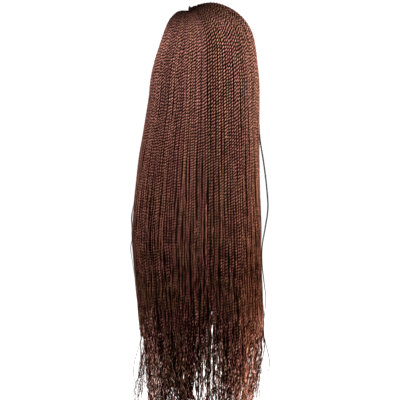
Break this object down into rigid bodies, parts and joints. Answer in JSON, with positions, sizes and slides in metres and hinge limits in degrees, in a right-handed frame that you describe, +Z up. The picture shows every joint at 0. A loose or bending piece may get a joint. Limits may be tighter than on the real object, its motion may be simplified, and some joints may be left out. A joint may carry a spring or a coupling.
{
  "type": "braid wig",
  "caption": "Long side-parted wig of fine two-strand twists on a close stretch cap, open at the face, hanging to free thinning ends.",
  "frame": {"origin": "inside of the cap's crown, where the top of the wearer's head touches it", "axes": "+Z up, along the hanging twists; -Y out of the face opening; +X to the wearer's left"},
  "size_m": [0.2518, 0.208, 0.7988],
  "materials": {
    "cap_net": "matt stretch net, dark brown",
    "twists": "soft satin hair fibre, reddish brown, twisted in two strands"
  },
  "bodies": {
    "root": {"wig_cap": "cap_net", "twists_left_front": "twists", "twists_left_back": "twists", "twists_right_back": "twists", "twists_right_front": "twists"}
  },
  "joints": []
}
